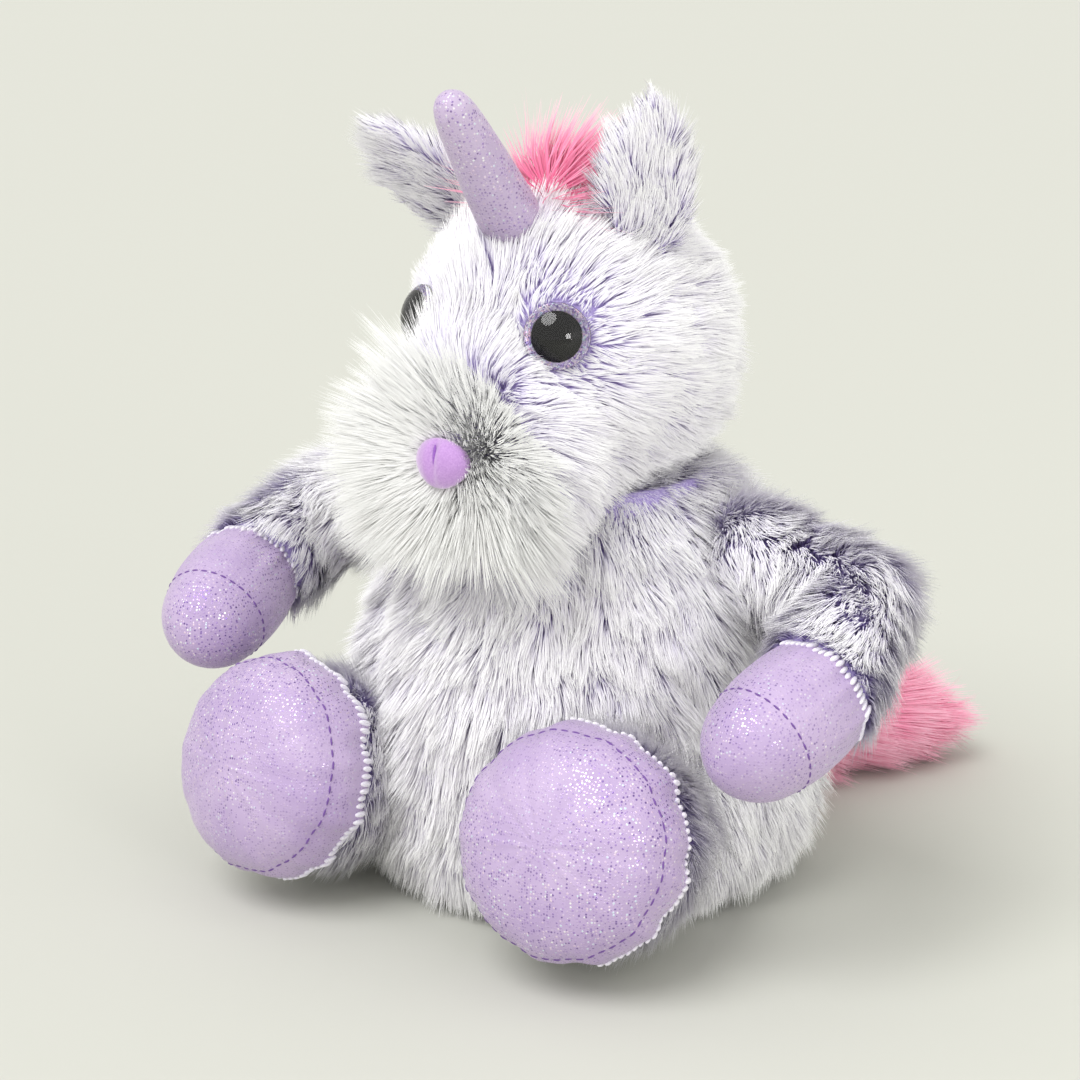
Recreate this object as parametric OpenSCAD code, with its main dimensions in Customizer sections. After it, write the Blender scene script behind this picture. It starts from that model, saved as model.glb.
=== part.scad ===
// Seated plush unicorn: plush panels over stuffing, dotted glitter hooves and
// horn, safety eyes, sewn seams that bend at neck, shoulders, hips, ears, tail.
// Millimetres. The origin is the centre of the seat, the toy faces -Y, Z is up.

/* [Body] */
// Largest radius of the egg-shaped body, over the pile
body_r = 94; // [90:1:98]
// Thickness of a plush panel, backing and standing pile together
pile = 12; // [9:1:14]
// Height of the neck's centre above the floor
neck_z = 140; // [138:1:142]
// Radius of the domed top of the body that the neck turns on
neck_r = 50; // [48:1:51]

/* [Head] */
// Radius of the head over the pile
head_r = 64; // [62:1:66]
// Height of the head's centre above the floor
head_z = 205; // [203:1:207]
// Radius of the rounded edge of the muzzle
muzzle_r = 30; // [28:1:32]
// Width of the strip that runs over the head between its sides
gusset_w = 40; // [34:2:46]
// Diameter of a safety eye
eye_d = 24; // [20:1:25]
// Half of the mane's width at its root
mane_half = 10; // [8:1:12]

/* [Horn and ears] */
// Diameter of the horn at its base
horn_d = 24; // [20:1:25]
// Diameter of the horn at its rounded tip
horn_tip_d = 16; // [12:1:18]
// Length of the horn from its seam to the centre of the tip
horn_len = 55; // [50:1:62]
// Width of an ear
ear_w = 44; // [38:1:48]
// Height of an ear above its fold
ear_h = 62; // [54:1:66]
// Thickness of one of the two sides of an ear
ear_t = 4.6; // [3.5:0.1:5.5]

/* [Arms and legs] */
// Radius of an arm over the pile
arm_r = 26; // [24:1:28]
// Radius of the glitter end of an arm
hand_r = 23; // [21:1:24]
// Radius of a leg over the pile
leg_r = 37; // [35:1:38]
// Radius of the glitter hoof of a leg
hoof_r = 39.5; // [38:0.5:41]
// Thickness of the glitter fabric with its backing
cloth = 1.6; // [1.2:0.1:2]
// Radius of the tail's thick part
tail_r = 20; // [18:1:22]

/* [Hidden] */
$fn = 96;
$seam = 0;             // where a turned shape starts and ends, about its axis
gap = 0.2;             // between a panel and the stuffing inside it
seam_gap = 0.6;        // between bodies that turn against each other
neck_c = [0, -8, neck_z];
head_c = [0, -12, head_z];
head_l = 7;            // half of the straight part of the head, front to back
head_cut = neck_z + 7; // the head is open below this height
muzzle_c = [0, -58, 178];
muzzle_ring = 16;
shoulder = [70, 5, 128];
elbow = [122, -4, 123];
wrist = [132, -36, 112];
hand_c = [132, -51, 101];
hand_tip = [126, -80, 93];
hip = [63, -67, 41];
hoof_c = [67, -97, 50];
tail_root = [0, 90, 24];
tail_mid = [30, 132, 22.5];
tail_end = [58, 172, 22.5];
ear_a = [25, -38, 260];
ear_b = [52, -8, 243];
horn_root = [0, -48, 258];
horn_tilt = 38.2;
eye_c = [28, -64.3, 221.7];

// ---------- helpers ----------
function unit(v) = v / norm(v);

// Turns +Z onto the direction d.
module along(d) {
  rotate([0, acos(d[2] / norm(d)), atan2(d[1], d[0])]) children();
}

// A rod with round ends from a to b.
module capsule(a, b, r) {
  l = norm(b - a);
  translate(a) along(b - a) rotate([0, 0, $seam]) rotate_extrude() intersection() {
    union() {
      circle(r);
      translate([0, l]) circle(r);
      square([r, l]);
    }
    translate([0, -r - 1]) square([r + 1, l + 2 * r + 2]);
  }
}

module box(lo, hi) {
  translate(lo) cube(hi - lo);
}

// ---------- body ----------
// Egg profile, as a share of the radius at each height.
function egg(o) = [
  [0, o], [body_r - 14 - o, o], [body_r - 5 - o, 8 + o * 0.4], [body_r - 1 - o, 25],
  [body_r - o, 46], [body_r - 2 - o, 72], [body_r - 9 - o, 98], [body_r - 21 - o, 119],
  [body_r - 36 - o, 134 - o * 0.5], [neck_r - 6 - o * 0.5, 142 - o * 0.8], [0, 142 - o * 0.8]
];

module body_solid(o) {
  rotate_extrude() polygon(egg(o));
  translate(neck_c) sphere(neck_r - o);
}

// Room for everything that bends out of the body.
module body_sockets(extra) {
  for (s = [-1, 1]) {
    translate([s * shoulder[0], shoulder[1], shoulder[2]]) sphere(32 + extra);
    translate([s * hip[0], hip[1], hip[2]]) sphere(47 + extra);
  }
  translate(tail_root) sphere(20 + extra);
}

module body_shell() {
  difference() {
    body_solid(0);
    body_solid(pile);
    translate([0, 0, -1]) cylinder(h = 5, r = body_r - 20);
    body_sockets(0);
  }
}

module body_quarter(sx, sy) {
  intersection() {
    body_shell();
    translate([sx > 0 ? 0 : -120, sy > 0 ? 0 : -120, -1]) cube([120, 120, 220]);
  }
}

module body_front_left() { color("#ECEBF6") body_quarter(1, -1); }
module body_front_right() { color("#ECEBF6") body_quarter(-1, -1); }
module body_back_left() { color("#ECEBF6") body_quarter(1, 1); }
module body_back_right() { color("#ECEBF6") body_quarter(-1, 1); }

// The flat round panel that the toy sits on.
module body_base() {
  color("#E2E0F0") difference() {
    cylinder(h = 4, r = body_r - 20);
    body_sockets(0);
  }
}

pouch_c = [0, 14, 78];
module pouch_solid(o) {
  translate(pouch_c) {
    rotate_extrude() union() {
      translate([30, 0]) circle(26 - o);
      translate([0, -26 + o]) square([30, 52 - 2 * o]);
    }
  }
}

module body_stuffing() {
  color("#FFFFFF") difference() {
    intersection() {
      body_solid(pile + gap);
      translate([-120, -120, 4 + gap]) cube([240, 240, 260]);
    }
    body_sockets(0);
    pouch_solid(-gap);
  }
}

module heat_pouch() {
  color("#E9DFCB") difference() { pouch_solid(0); pouch_solid(1.2); }
}
module grain_fill() { color("#D9C08C") pouch_solid(1.2 + gap); }

// A plain folded label sewn into the back seam near the floor.
module care_label() {
  color("#FAFAFA") translate([-2, body_r - 1.6, 58]) rotate([6, 0, 0])
    cube([0.8, 24, 30]);
}

// ---------- neck ----------
module neck_seam() {
  color("#8C7ABF") intersection() {
    difference() {
      translate(neck_c) sphere(neck_r + seam_gap + 3);
      translate(neck_c) sphere(neck_r + seam_gap);
    }
    translate([-90, -90, neck_z + 9]) cube([180, 180, 13]);
  }
}

// ---------- head ----------
module head_solid(o) {
  capsule(head_c - [0, head_l, 0], head_c + [0, head_l, 0], head_r - o);
}

module muzzle_solid(o) {
  translate(muzzle_c) rotate([90, 0, 0]) rotate_extrude() intersection() {
    union() {
      translate([muzzle_ring, 0]) circle(muzzle_r - o);
      translate([0, -muzzle_r + o]) square([muzzle_ring, 2 * (muzzle_r - o)]);
    }
    translate([0, -60]) square([100, 120]);
  }
}

// Space the head leaves free: the neck, the floor of the head, ears and horn.
module head_room() {
  translate(neck_c) sphere(neck_r + 2 * seam_gap + 3);
  translate([-100, -140, 60]) cube([200, 260, head_cut - 60]);
  translate(horn_root) sphere(15.5);
  for (s = [-1, 1]) mirror([s < 0 ? 1 : 0, 0, 0])
    translate(ear_a - 4 * unit(ear_b - ear_a)) along(ear_b - ear_a)
      cylinder(h = norm(ear_b - ear_a) + 8, r = 8.8);
}

module eye_frame(s) {
  mirror([s < 0 ? 1 : 0, 0, 0]) translate(eye_c)
    rotate([0, 0, 32]) rotate([80, 0, 0]) children();
}

module eye_room() {
  for (s = [-1, 1]) eye_frame(s) {
    translate([0, 0, -2.2]) cylinder(h = 30, r = eye_d / 2 + 0.2);
    translate([0, 0, -9]) cylinder(h = 12, r = 2.7);
  }
}

module head_shell() {
  difference() {
    head_solid(0);
    head_solid(pile);
    muzzle_solid(0);
    head_room();
    eye_room();
  }
}

module head_side(s) {
  intersection() {
    head_shell();
    translate([s > 0 ? gusset_w / 2 : -gusset_w / 2 - 90, -120, 100]) cube([90, 240, 200]);
  }
}
module head_side_left() { color("#F2F1FA") head_side(1); }
module head_side_right() { color("#F2F1FA") head_side(-1); }
module forehead_gusset() {
  color("#F2F1FA") intersection() {
    head_shell();
    translate([-gusset_w / 2, -120, 100]) cube([gusset_w, 240, 200]);
  }
}

module muzzle_shell() {
  difference() {
    muzzle_solid(0);
    muzzle_solid(pile - 4);
    head_solid(pile);
    head_room();
    eye_room();
    // seat of the nose
    nose_solid(0.2);
  }
}
module muzzle_upper() {
  color("#FFFFFF") intersection() {
    muzzle_shell();
    translate([-80, -140, 165]) cube([160, 200, 80]);
  }
}
module muzzle_chin() {
  color("#FFFFFF") intersection() {
    muzzle_shell();
    translate([-80, -140, 85]) cube([160, 200, 80]);
  }
}

// Padded button of velour, a rounded drum that faces forward.
module nose_solid(o) {
  translate([0, -91, 177]) rotate([90, 0, 0]) rotate_extrude() intersection() {
    union() {
      translate([4, 0]) circle(6 + o);
      translate([0, -6 - o]) square([4, 12 + 2 * o]);
    }
    translate([0, -20]) square([40, 40]);
  }
}
module nose() { color("#C993DC") nose_solid(0); }

module mane() {
  color("#FF9CC0") difference() {
    translate([-mane_half, 4, head_z + 2]) rotate([0, 90, 0])
      cylinder(h = 2 * mane_half, r = 97);
    head_solid(0);
    head_room();
    // open below the nape and in front of the horn
    translate([-60, -120, 60]) cube([120, 260, 112]);
    translate([-60, -40, 150]) rotate([0, 0, 0]) translate([0, -100, 0]) cube([120, 100, 180]);
    translate([-60, -20, 60]) cube([120, 60, 150]);
  }
}

module head_stuffing() {
  color("#FFFFFF") difference() {
    union() {
      head_solid(pile + gap);
      intersection() {
        muzzle_solid(pile - 4 + gap);
        translate([-80, -120, 100]) cube([160, 110, 160]);
      }
    }
    head_room();
    for (s = [-1, 1]) eye_frame(s) translate([0, 0, -10]) cylinder(h = 40, r = 9.8);
    nose_solid(0.3);
  }
}

module eye_lens() {
  // a clear dome, flat behind
  intersection() {
    translate([0, 0, 6 - 15]) sphere(15);
    cylinder(h = 8, r = eye_d / 2);
  }
}
module eye_ring() {
  translate([0, 0, -0.8]) difference() {
    cylinder(h = 0.8, r = eye_d / 2);
    translate([0, 0, -1]) cylinder(h = 3, r = 8.4);
  }
}
module eye_post() {
  translate([0, 0, -0.8]) cylinder(h = 0.8, r = 8.4);
  translate([0, 0, -2]) cylinder(h = 1.2, r = eye_d / 2);
  translate([0, 0, -9]) cylinder(h = 7.5, r = 2.5);
}
module eye_washer() {
  translate([0, 0, -7]) difference() {
    cylinder(h = 1.5, r = 7);
    translate([0, 0, -1]) cylinder(h = 4, r = 2.5);
  }
}
module eye_lens_left() { color("#D8D0E8", 0.4) eye_frame(1) eye_lens(); }
module eye_ring_left() { color("#B9A6D8") eye_frame(1) eye_ring(); }
module eye_post_left() { color("#141216") eye_frame(1) eye_post(); }
module eye_washer_left() { color("#DADADA") eye_frame(1) eye_washer(); }
module eye_lens_right() { color("#D8D0E8", 0.4) eye_frame(-1) eye_lens(); }
module eye_ring_right() { color("#B9A6D8") eye_frame(-1) eye_ring(); }
module eye_post_right() { color("#141216") eye_frame(-1) eye_post(); }
module eye_washer_right() { color("#DADADA") eye_frame(-1) eye_washer(); }

// ---------- horn ----------
module horn_solid(o) {
  translate(horn_root) rotate([horn_tilt, 0, 0]) {
    sphere(horn_d / 2 - o);
    cylinder(h = horn_len, r1 = horn_d / 2 - o, r2 = horn_tip_d / 2 - o);
    translate([0, 0, horn_len]) sphere(horn_tip_d / 2 - o);
  }
}
module horn_cover() {
  color("#C9B4D6") difference() { horn_solid(0); horn_solid(cloth); }
}
module horn_stuffing() { color("#FFFFFF") horn_solid(cloth + gap); }

// ---------- ears ----------
// The ear stands on the line from ear_a to ear_b: X runs along the fold,
// Z towards the tip, -Y out of the front of the ear.
ear_mid = (ear_a + ear_b) / 2;
ear_dir = unit(ear_b - ear_a);

module ear_outline(lean) {
  w = ear_w / 2;
  h = ear_h - 18;
  r = (h * h + w * w) / (2 * w);
  intersection() {
    rotate([0, 0, lean]) translate([0, 18]) intersection() {
      translate([r - w, 0]) circle(r);
      translate([w - r, 0]) circle(r);
    }
    translate([-50, -5]) square([100, ear_h + 20]);
  }
}

// azimuth and slope of the fold line
ear_az = atan2(ear_dir[1], ear_dir[0]);
ear_slope = asin(ear_dir[2]);

module ear_frame(s, fold) {
  mirror([s < 0 ? 1 : 0, 0, 0]) translate(ear_mid)
    rotate([0, 0, ear_az]) rotate([0, -ear_slope, 0]) rotate([fold, 0, 0]) children();
}

module ear_half(lean, front) {
  intersection() {
    union() {
      translate([0, ear_t, 0]) rotate([90, 0, 0]) linear_extrude(2 * ear_t) ear_outline(lean);
      translate([-17, 0, 0]) rotate([0, 90, 0]) cylinder(h = 34, r = ear_t + 0.1);
    }
    translate([-60, front ? -20 : 0, -20]) cube([120, 20, 110]);
  }
}
left_fold = 0;
left_lean = 20;
right_fold = 30;
right_lean = -12;
module ear_front_left() { color("#EDE9F8") ear_frame(1, left_fold) ear_half(left_lean, true); }
module ear_back_left() { color("#F2F1FA") ear_frame(1, left_fold) ear_half(left_lean, false); }
module ear_front_right() { color("#EDE9F8") ear_frame(-1, right_fold) ear_half(right_lean, true); }
module ear_back_right() { color("#F2F1FA") ear_frame(-1, right_fold) ear_half(right_lean, false); }

// ---------- arms ----------
module arm_solid(o) {
  capsule(shoulder, elbow, arm_r - o);
  translate(elbow) along(wrist - elbow)
    cylinder(h = norm(wrist - elbow) + 25, r1 = arm_r - 1 - o, r2 = arm_r - 2.5 - o);
}
hand_dir = unit(hand_tip - hand_c);
module hand_solid(o) {
  capsule(hand_c - 34 * hand_dir, hand_tip, hand_r - o);
}
// The glitter end starts on this plane across the arm.
module hand_side() {
  translate((wrist + hand_c) / 2) along(hand_tip - hand_c)
    translate([-60, -60, 0]) cube([120, 120, 120]);
}
module arm_shell() {
  difference() {
    arm_solid(0);
    arm_solid(pile);
    hand_side();
  }
}
module arm_split(upper) {
  // the seam along the arm lies a little below its middle
  translate([40, -140, upper ? 120 : 20]) cube([140, 240, 100]);
}
module arm_outer() { $seam = 180; intersection() { arm_shell(); arm_split(true); } }
module arm_inner() { intersection() { arm_shell(); arm_split(false); } }

module hand_shell() {
  intersection() {
    difference() {
      hand_solid(0);
      hand_solid(cloth);
    }
    hand_side();
  }
}
// the dashed seam that divides the front panel from the band
module hand_cut() {
  translate(hand_tip) along(hand_tip - hand_c) rotate([0, 0, 0])
    translate([-60, -60, -8]) cube([120, 120, 80]);
}
module hand_front() { intersection() { hand_shell(); hand_cut(); } }
module hand_band() { difference() { hand_shell(); hand_cut(); } }
module arm_stuffing() {
  difference() { arm_solid(pile + gap); hand_side(); }
  intersection() { hand_solid(cloth + gap); hand_side(); }
}
module stitch_ring(r, n) {
  for (i = [0 : n - 1]) rotate([0, 0, i * 360 / n])
    translate([r, 0, 0]) rotate([90, 0, 0])
      cylinder(h = 3, r = 0.5, center = true, $fn = 8);
}
module hand_stitches() {
  translate(hand_tip) along(hand_tip - hand_c) translate([0, 0, -8]) stitch_ring(hand_r + 0.2, 30);
}

module arm_outer_left() { color("#ECEBF6") arm_outer(); }
module arm_inner_left() { color("#ECEBF6") arm_inner(); }
module arm_stuffing_left() { color("#FFFFFF") arm_stuffing(); }
module hand_front_left() { color("#CDB4DC") hand_front(); }
module hand_band_left() { color("#CDB4DC") hand_band(); }
module hand_stitches_left() { color("#7D4F9E") hand_stitches(); }
module arm_outer_right() { color("#ECEBF6") mirror([1, 0, 0]) arm_outer(); }
module arm_inner_right() { color("#ECEBF6") mirror([1, 0, 0]) arm_inner(); }
module arm_stuffing_right() { color("#FFFFFF") mirror([1, 0, 0]) arm_stuffing(); }
module hand_front_right() { color("#CDB4DC") mirror([1, 0, 0]) hand_front(); }
module hand_band_right() { color("#CDB4DC") mirror([1, 0, 0]) hand_band(); }
module hand_stitches_right() { color("#7D4F9E") mirror([1, 0, 0]) hand_stitches(); }

// ---------- legs ----------
leg_dir = hoof_c - hip;
module leg_solid(o) {
  translate(hip) sphere(leg_r - o);
  translate(hip) along(leg_dir) cylinder(h = norm(leg_dir) + 20, r = leg_r - 0.4 - o);
}
module hoof_solid(o) { translate(hoof_c) sphere(hoof_r - o); }
// The hoof lies beyond this plane across the leg.
module hoof_side() {
  translate(hoof_c) along(leg_dir) translate([-60, -60, 0]) cube([120, 120, 120]);
}
// The front panel of the hoof lies beyond this slanted plane.
module hoof_cut() {
  translate(hoof_c) along(leg_dir + [14, 0, 6]) translate([-60, -60, 15]) cube([120, 120, 120]);
}
module leg_shell() { difference() { leg_solid(0); leg_solid(pile); hoof_side(); } }
module leg_outer() {
  intersection() { leg_shell(); translate([65, -150, -22]) cube([70, 150, 140]); }
}
module leg_inner() {
  $seam = 180;
  intersection() { leg_shell(); translate([-5, -150, -22]) cube([70, 150, 140]); }
}
module hoof_shell() {
  intersection() {
    difference() { hoof_solid(0); hoof_solid(cloth); }
    hoof_side();
  }
}
module hoof_front() { intersection() { hoof_shell(); hoof_cut(); } }
module hoof_band() { difference() { hoof_shell(); hoof_cut(); } }
module leg_stuffing() {
  difference() { leg_solid(pile + gap); hoof_side(); }
  intersection() { hoof_solid(cloth + gap); hoof_side(); }
}
module hoof_stitches() {
  translate(hoof_c) along(leg_dir + [14, 0, 6]) translate([0, 0, 15])
    stitch_ring(sqrt(hoof_r * hoof_r - 225) + 0.2, 44);
}

module leg_outer_left() { color("#ECEBF6") leg_outer(); }
module leg_inner_left() { color("#ECEBF6") leg_inner(); }
module leg_stuffing_left() { color("#FFFFFF") leg_stuffing(); }
module hoof_front_left() { color("#CDB4DC") hoof_front(); }
module hoof_band_left() { color("#CDB4DC") hoof_band(); }
module hoof_stitches_left() { color("#7D4F9E") hoof_stitches(); }
module leg_outer_right() { color("#ECEBF6") mirror([1, 0, 0]) leg_outer(); }
module leg_inner_right() { color("#ECEBF6") mirror([1, 0, 0]) leg_inner(); }
module leg_stuffing_right() { color("#FFFFFF") mirror([1, 0, 0]) leg_stuffing(); }
module hoof_front_right() { color("#CDB4DC") mirror([1, 0, 0]) hoof_front(); }
module hoof_band_right() { color("#CDB4DC") mirror([1, 0, 0]) hoof_band(); }
module hoof_stitches_right() { color("#7D4F9E") mirror([1, 0, 0]) hoof_stitches(); }

// ---------- tail ----------
module tail_solid() {
  translate(tail_root) sphere(14.5);
  translate(tail_root) along(tail_mid - tail_root)
    cylinder(h = norm(tail_mid - tail_root), r1 = 13, r2 = tail_r - 0.8);
  capsule(tail_mid, tail_end, tail_r);
}
module tail_upper() {
  color("#FF9CC0") intersection() {
    tail_solid();
    translate([-60, 60, tail_mid[2]]) cube([200, 180, 60]);
  }
}
module tail_under() {
  color("#FF9CC0") intersection() {
    tail_solid();
    translate([-60, 60, tail_mid[2] - 60]) cube([200, 180, 60]);
  }
}

body_front_left();
body_front_right();
body_back_left();
body_back_right();
body_base();
body_stuffing();
heat_pouch();
grain_fill();
care_label();
neck_seam();
head_side_left();
head_side_right();
forehead_gusset();
muzzle_upper();
muzzle_chin();
nose();
mane();
head_stuffing();
eye_lens_left();
eye_ring_left();
eye_post_left();
eye_washer_left();
eye_lens_right();
eye_ring_right();
eye_post_right();
eye_washer_right();
horn_cover();
horn_stuffing();
ear_front_left();
ear_back_left();
ear_front_right();
ear_back_right();
arm_outer_left();
arm_inner_left();
arm_stuffing_left();
hand_front_left();
hand_band_left();
hand_stitches_left();
arm_outer_right();
arm_inner_right();
arm_stuffing_right();
hand_front_right();
hand_band_right();
hand_stitches_right();
leg_outer_left();
leg_inner_left();
leg_stuffing_left();
hoof_front_left();
hoof_band_left();
hoof_stitches_left();
leg_outer_right();
leg_inner_right();
leg_stuffing_right();
hoof_front_right();
hoof_band_right();
hoof_stitches_right();
tail_upper();
tail_under();
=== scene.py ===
import math
import bmesh
import bpy
import numpy as np
from mathutils import Matrix, Vector
from mathutils.bvhtree import BVHTree


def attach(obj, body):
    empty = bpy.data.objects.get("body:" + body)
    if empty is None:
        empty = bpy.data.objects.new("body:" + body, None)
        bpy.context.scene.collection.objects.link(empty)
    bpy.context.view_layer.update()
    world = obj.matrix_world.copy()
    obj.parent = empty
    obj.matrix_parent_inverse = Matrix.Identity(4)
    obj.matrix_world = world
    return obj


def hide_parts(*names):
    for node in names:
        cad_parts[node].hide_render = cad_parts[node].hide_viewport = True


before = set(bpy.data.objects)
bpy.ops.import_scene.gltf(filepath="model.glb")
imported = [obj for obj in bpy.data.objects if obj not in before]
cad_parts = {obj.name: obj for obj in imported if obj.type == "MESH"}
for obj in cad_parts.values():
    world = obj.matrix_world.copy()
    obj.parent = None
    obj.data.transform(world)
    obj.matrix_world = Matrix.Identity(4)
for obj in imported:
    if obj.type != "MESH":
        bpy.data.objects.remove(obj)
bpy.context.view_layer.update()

MM = 0.001
SIDES = (("left", 1), ("right", -1))
# The pile stays at least this far above the floor.
FLOOR_GAP = 0.8 * MM

# ---------------------------------------------------------------- view
# The camera. The floor and the lights are in the last section.
scene = bpy.context.scene
AIM = Vector((-0.0156, -0.0087, 0.1271))
BACK = Vector((0.5603, -0.7825, 0.2715))
CAMERA_AWAY = 1.08
camera = bpy.data.objects.new("camera", bpy.data.cameras.new("camera"))
scene.collection.objects.link(camera)
camera.location = AIM + BACK * CAMERA_AWAY
camera.rotation_euler = (-BACK).to_track_quat("-Z", "Y").to_euler()
camera.data.lens, camera.data.sensor_width = 93.0, 36.0
camera.data.clip_start, camera.data.clip_end = 0.05, 60
scene.camera = camera


# ---------------------------------------------------------------- materials
def linear(hex_colour):
    """An sRGB hex value as linear RGBA."""
    rgb = [int(hex_colour[i : i + 2], 16) / 255 for i in (1, 3, 5)]
    return [c / 12.92 if c <= 0.04045 else ((c + 0.055) / 1.055) ** 2.4 for c in rgb] + [1.0]


def add(tree, kind, settings=None, links=None):
    """Adds a node; settings are properties or input values, links are input: output socket."""
    n = tree.nodes.new(kind)
    for key, value in (settings or {}).items():
        if isinstance(key, str) and hasattr(n, key):
            setattr(n, key, value)
    for key, value in (settings or {}).items():
        if not (isinstance(key, str) and hasattr(n, key)):
            n.inputs[key].default_value = value
    for key, socket in (links or {}).items():
        tree.links.new(socket, n.inputs[key])
    return n


def finish_material(name, settings):
    """A named material with a Principled shader that holds the given values."""
    m = bpy.data.materials.new(name)
    m.use_nodes = True
    shader = m.node_tree.nodes["Principled BSDF"]
    for key, value in settings.items():
        shader.inputs[key].default_value = value
    return m, m.node_tree, shader


def ramp(n, stops):
    """Sets a Color Ramp node's stops from (place, hex) pairs."""
    e = n.color_ramp.elements
    while len(e) > 1:
        e.remove(e[0])
    e[0].position, e[0].color = stops[0][0], linear(stops[0][1])
    for place, colour in stops[1:]:
        e.new(place).color = linear(colour)


def faux_fur(name, stops):
    """Acrylic high-pile faux fur, tip-printed: each hair is dark at the backing and pale at its tip,
    so the eye sees soft white with colour in the partings."""
    m, t, shader = finish_material(
        name, {"Roughness": 0.75, "Sheen Weight": 0.25, "Sheen Roughness": 0.5, "Specular IOR Level": 0.2}
    )
    along = add(t, "ShaderNodeAttribute", {"attribute_name": "strand_t"})
    key = add(t, "ShaderNodeAttribute", {"attribute_name": "strand_key"})
    shift = add(
        t, "ShaderNodeMath", {"operation": "MULTIPLY_ADD", 1: 0.22, 2: -0.11}, {0: key.outputs["Fac"]}
    )
    place = add(t, "ShaderNodeMath", {"operation": "ADD"}, {0: along.outputs["Fac"], 1: shift.outputs[0]})
    colour = add(t, "ShaderNodeValToRGB", {}, {0: place.outputs[0]})
    ramp(colour, stops)
    t.links.new(colour.outputs["Color"], shader.inputs["Base Color"])
    return m


def knit_backing(name, dark, light):
    """Knitted backing under the pile: matt, fine 1.2 mm loops, seen only in deep partings."""
    m, t, shader = finish_material(name, {"Roughness": 0.95})
    where = add(t, "ShaderNodeTexCoord")
    loops = add(t, "ShaderNodeTexVoronoi", {"Scale": 1 / (1.2 * MM)}, {"Vector": where.outputs["Object"]})
    colour = add(t, "ShaderNodeValToRGB", {}, {0: loops.outputs["Distance"]})
    ramp(colour, [(0.1, light), (0.7, dark)])
    t.links.new(colour.outputs["Color"], shader.inputs["Base Color"])
    return m


def dotted_foil(name, cloth, low, dot, pitch, dark_share):
    """Polyester jersey with a holographic foil-dot print: satin cloth, dots one pitch apart, each dot
    given its own colour at random; the white sparks among the darker dots are painted glints."""
    m, t, shader = finish_material(name, {"Roughness": 0.45, "Sheen Weight": 0.2})
    where = add(t, "ShaderNodeTexCoord")
    dots = add(
        t,
        "ShaderNodeTexVoronoi",
        {"Scale": 1 / (pitch * MM), "Randomness": 0.55},
        {"Vector": where.outputs["Object"]},
    )
    spread = add(t, "ShaderNodeTexNoise", {"Scale": 45.0, "Detail": 3.0}, {"Vector": where.outputs["Object"]})
    base = add(t, "ShaderNodeValToRGB", {}, {0: spread.outputs["Fac"]})
    ramp(base, [(0.35, cloth), (0.65, low)])
    per = add(t, "ShaderNodeSeparateColor", {}, {0: dots.outputs["Color"]})
    inside = add(t, "ShaderNodeMapRange", {1: 0.30, 2: 0.42, 3: 1.0, 4: 0.0}, {0: dots.outputs["Distance"]})
    hue = add(t, "ShaderNodeValToRGB", {}, {0: per.outputs["Red"]})
    # the palest stops of this dot ramp, white and pale blue, are painted glints; the darker stops are the
    # print's dot colours
    ramp(
        hue,
        [
            (0.0, dot), (dark_share, "#9C7FC4"), (dark_share + 0.12, "#B79AD6"), (0.72, "#D9C6E6"),
            (0.84, "#F2D9EE"), (0.93, "#FFFFFF"), (1.0, "#DFF3FF"),
        ],
    )
    # in some noise patches the dots are brighter and more metallic, in others they stay dull: painted
    # sparkle, not wear of the print
    patch = add(t, "ShaderNodeTexNoise", {"Scale": 17.0, "Detail": 2.0}, {"Vector": where.outputs["Object"]})
    sparkle_patches = add(t, "ShaderNodeMapRange", {1: 0.42, 2: 0.60, 3: 0.32, 4: 1.0}, {0: patch.outputs["Fac"]})
    strength = add(
        t, "ShaderNodeMath", {"operation": "MULTIPLY"}, {0: inside.outputs[0], 1: sparkle_patches.outputs[0]}
    )
    mixed = add(
        t,
        "ShaderNodeMix",
        {"data_type": "RGBA"},
        {0: strength.outputs[0], 6: base.outputs["Color"], 7: hue.outputs["Color"]},
    )
    shine = add(t, "ShaderNodeMapRange", {1: 0.0, 2: 1.0, 3: 0.62, 4: 0.22}, {0: inside.outputs[0]})
    metal = add(t, "ShaderNodeMath", {"operation": "MULTIPLY", 1: 0.6}, {0: strength.outputs[0]})
    tilt = add(t, "ShaderNodeBump", {"Strength": 0.35, "Distance": 0.0004}, {"Height": inside.outputs[0]})
    t.links.new(mixed.outputs[2], shader.inputs["Base Color"])
    t.links.new(shine.outputs[0], shader.inputs["Roughness"])
    t.links.new(metal.outputs[0], shader.inputs["Metallic"])
    t.links.new(tilt.outputs[0], shader.inputs["Normal"])
    return m


def woven(name, first, second, thread, rough=0.85, sheen=0.2):
    """Plain woven or knitted cloth: two close tones a thread apart and a light bump."""
    m, t, shader = finish_material(name, {"Roughness": rough, "Sheen Weight": sheen})
    where = add(t, "ShaderNodeTexCoord")
    threads = add(
        t,
        "ShaderNodeTexNoise",
        {"Scale": 1 / (thread * MM), "Detail": 2.0},
        {"Vector": where.outputs["Object"]},
    )
    colour = add(t, "ShaderNodeValToRGB", {}, {0: threads.outputs["Fac"]})
    ramp(colour, [(0.3, first), (0.7, second)])
    bump = add(t, "ShaderNodeBump", {"Strength": 0.3, "Distance": 0.0003}, {"Height": threads.outputs["Fac"]})
    t.links.new(colour.outputs["Color"], shader.inputs["Base Color"])
    t.links.new(bump.outputs[0], shader.inputs["Normal"])
    return m


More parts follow.
